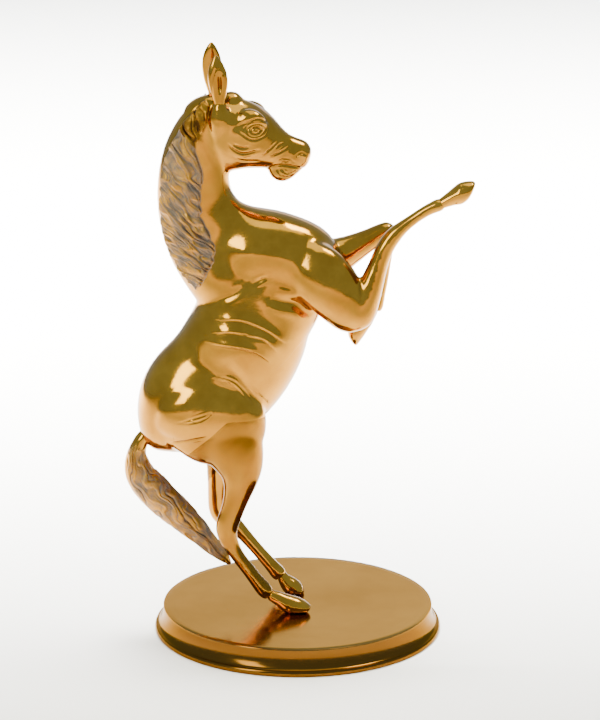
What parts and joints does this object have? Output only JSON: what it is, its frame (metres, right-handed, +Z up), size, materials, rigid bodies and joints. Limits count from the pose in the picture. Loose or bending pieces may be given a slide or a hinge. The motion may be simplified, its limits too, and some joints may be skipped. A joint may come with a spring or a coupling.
{
  "type": "hood ornament",
  "caption": "Rearing foal in polished hollow-cast brass, standing on its hind feet on a turned round brass stand with a flared rim.",
  "frame": {"origin": "middle of the stand's underside, on the table", "axes": "+X the way the foal faces, +Y its left side, +Z up"},
  "size_m": [0.1744, 0.144, 0.302],
  "materials": {
    "polished_brass": "hand-polished casting",
    "chased_brass": "chased hair, darkened in its hollows, polished on its ridges",
    "turned_brass": "lathe-turned, satin",
    "plated_steel": "zinc plated",
    "felt": "pressed wool felt"
  },
  "bodies": {
    "root": {"head": "polished_brass", "right_ear": "polished_brass", "left_ear": "polished_brass", "neck": "chased_brass", "body_right": "polished_brass", "body_left": "polished_brass", "rump": "polished_brass", "tail": "chased_brass", "right_foreleg": "polished_brass", "right_fore_cannon": "polished_brass", "right_fore_foot": "polished_brass", "left_foreleg": "polished_brass", "left_fore_cannon": "polished_brass", "left_fore_foot": "polished_brass", "right_thigh": "polished_brass", "right_hind_cannon": "polished_brass", "right_hind_foot": "polished_brass", "left_thigh": "polished_brass", "left_hind_cannon": "polished_brass", "left_hind_foot": "polished_brass", "stand_top": "turned_brass", "foot_ring": "turned_brass", "felt_pad": "felt", "studs": "plated_steel", "washers": "plated_steel", "nuts": "plated_steel"}
  },
  "joints": []
}
